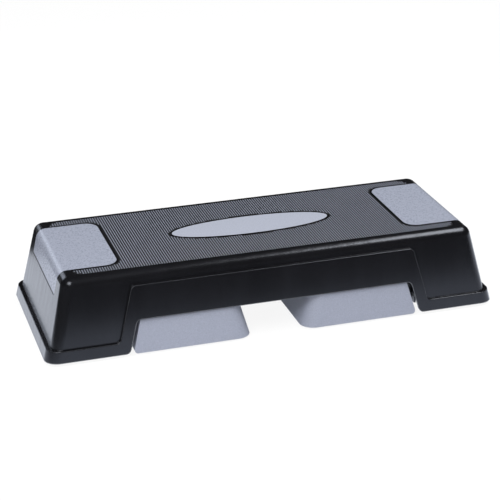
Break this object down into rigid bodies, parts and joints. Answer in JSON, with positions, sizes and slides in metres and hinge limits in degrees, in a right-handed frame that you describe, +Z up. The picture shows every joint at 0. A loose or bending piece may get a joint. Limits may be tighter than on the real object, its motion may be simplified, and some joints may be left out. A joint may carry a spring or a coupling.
{
  "type": "aerobic step platform",
  "caption": "Low moulded step for aerobic exercise with a bumped tread, grey end pads and two grey legs that fold out from under the deck to raise it.",
  "frame": {"origin": "on the floor, under the middle of the platform", "axes": "+X along the platform's length, +Y to its back, +Z up"},
  "size_m": [0.68, 0.2724, 0.122],
  "materials": {
    "black_plastic": "satin black moulded plastic",
    "tread_rubber": "dark grey rubber with fine bumps",
    "grey_inlay": "fine-grained blue-grey plastic",
    "grey_leg_plastic": "fine-grained blue-grey plastic",
    "zinc_steel": "zinc-plated steel",
    "foot_rubber": "plain black rubber"
  },
  "bodies": {
    "platform": {"badge_plate": "grey_inlay", "floor_pad_left_back_inner": "foot_rubber", "floor_pad_left_back_outer": "foot_rubber", "floor_pad_left_front_inner": "foot_rubber", "floor_pad_left_front_outer": "foot_rubber", "floor_pad_right_back_inner": "foot_rubber", "floor_pad_right_back_outer": "foot_rubber", "floor_pad_right_front_inner": "foot_rubber", "floor_pad_right_front_outer": "foot_rubber", "left_end_pad": "grey_inlay", "left_hinge_rod": "zinc_steel", "left_rod_cap_back": "zinc_steel", "left_rod_cap_front": "zinc_steel", "platform_shell": "black_plastic", "right_end_pad": "grey_inlay", "right_hinge_rod": "zinc_steel", "right_rod_cap_back": "zinc_steel", "right_rod_cap_front": "zinc_steel", "tread_mat": "tread_rubber"},
    "left_leg": {"left_leg": "grey_leg_plastic", "left_leg_pad_back_inner": "foot_rubber", "left_leg_pad_back_outer": "foot_rubber", "left_leg_pad_front_inner": "foot_rubber", "left_leg_pad_front_outer": "foot_rubber"},
    "right_leg": {"right_leg": "grey_leg_plastic", "right_leg_pad_back_inner": "foot_rubber", "right_leg_pad_back_outer": "foot_rubber", "right_leg_pad_front_inner": "foot_rubber", "right_leg_pad_front_outer": "foot_rubber"}
  },
  "joints": [
    {"name": "left_leg_hinge", "type": "hinge", "parent": "platform", "child": "left_leg", "pos_m": [-0.2171, 0, 0.004], "axis": [0, 1, 0], "range_deg": [0, 180]},
    {"name": "right_leg_hinge", "type": "hinge", "parent": "platform", "child": "right_leg", "pos_m": [0.2171, 0, 0.004], "axis": [0, -1, 0], "range_deg": [0, 180]}
  ]
}
